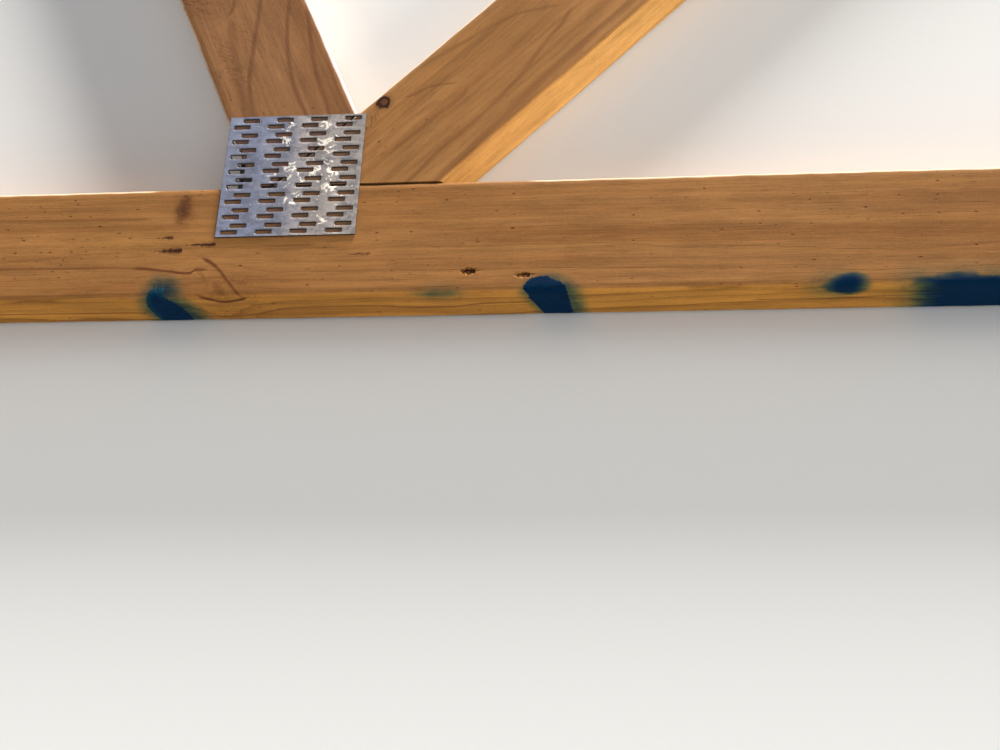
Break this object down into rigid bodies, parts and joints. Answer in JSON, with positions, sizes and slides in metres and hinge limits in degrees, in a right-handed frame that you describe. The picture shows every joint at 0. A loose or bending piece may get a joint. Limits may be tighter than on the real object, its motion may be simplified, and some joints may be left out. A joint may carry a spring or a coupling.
{
  "type": "wooden roof truss",
  "caption": "Lightweight W roof truss of planed softwood, its chords, struts and ties joined by slotted galvanised nail plates on both faces, lying flat.",
  "frame": {"origin": "centre of the truss's plan box, on the plane that its back nail plates rest on", "axes": "+X along the span and the bottom chord, +Y from the bottom chord towards the apex, +Z out of the upper (pictured) face"},
  "size_m": [5.4, 1.2283, 0.037],
  "materials": {
    "softwood": "planed pine with knots, resin streaks and rounded arrises, weathered to orange brown",
    "galvanised_plate": "galvanised sheet with spangle, pressed flat on the timber"
  },
  "bodies": {
    "root": {"bottom_chord": "softwood", "top_chord_left": "softwood", "top_chord_right": "softwood", "tie_left": "softwood", "tie_right": "softwood", "strut_left": "softwood", "strut_right": "softwood", "nail_plate_heel_left_front": "galvanised_plate", "nail_plate_heel_left_back": "galvanised_plate", "nail_plate_heel_right_front": "galvanised_plate", "nail_plate_heel_right_back": "galvanised_plate", "nail_plate_panel_left_front": "galvanised_plate", "nail_plate_panel_left_back": "galvanised_plate", "nail_plate_panel_right_front": "galvanised_plate", "nail_plate_panel_right_back": "galvanised_plate", "nail_plate_head_left_front": "galvanised_plate", "nail_plate_head_left_back": "galvanised_plate", "nail_plate_head_right_front": "galvanised_plate", "nail_plate_head_right_back": "galvanised_plate", "nail_plate_apex_front": "galvanised_plate", "nail_plate_apex_back": "galvanised_plate"}
  },
  "joints": []
}
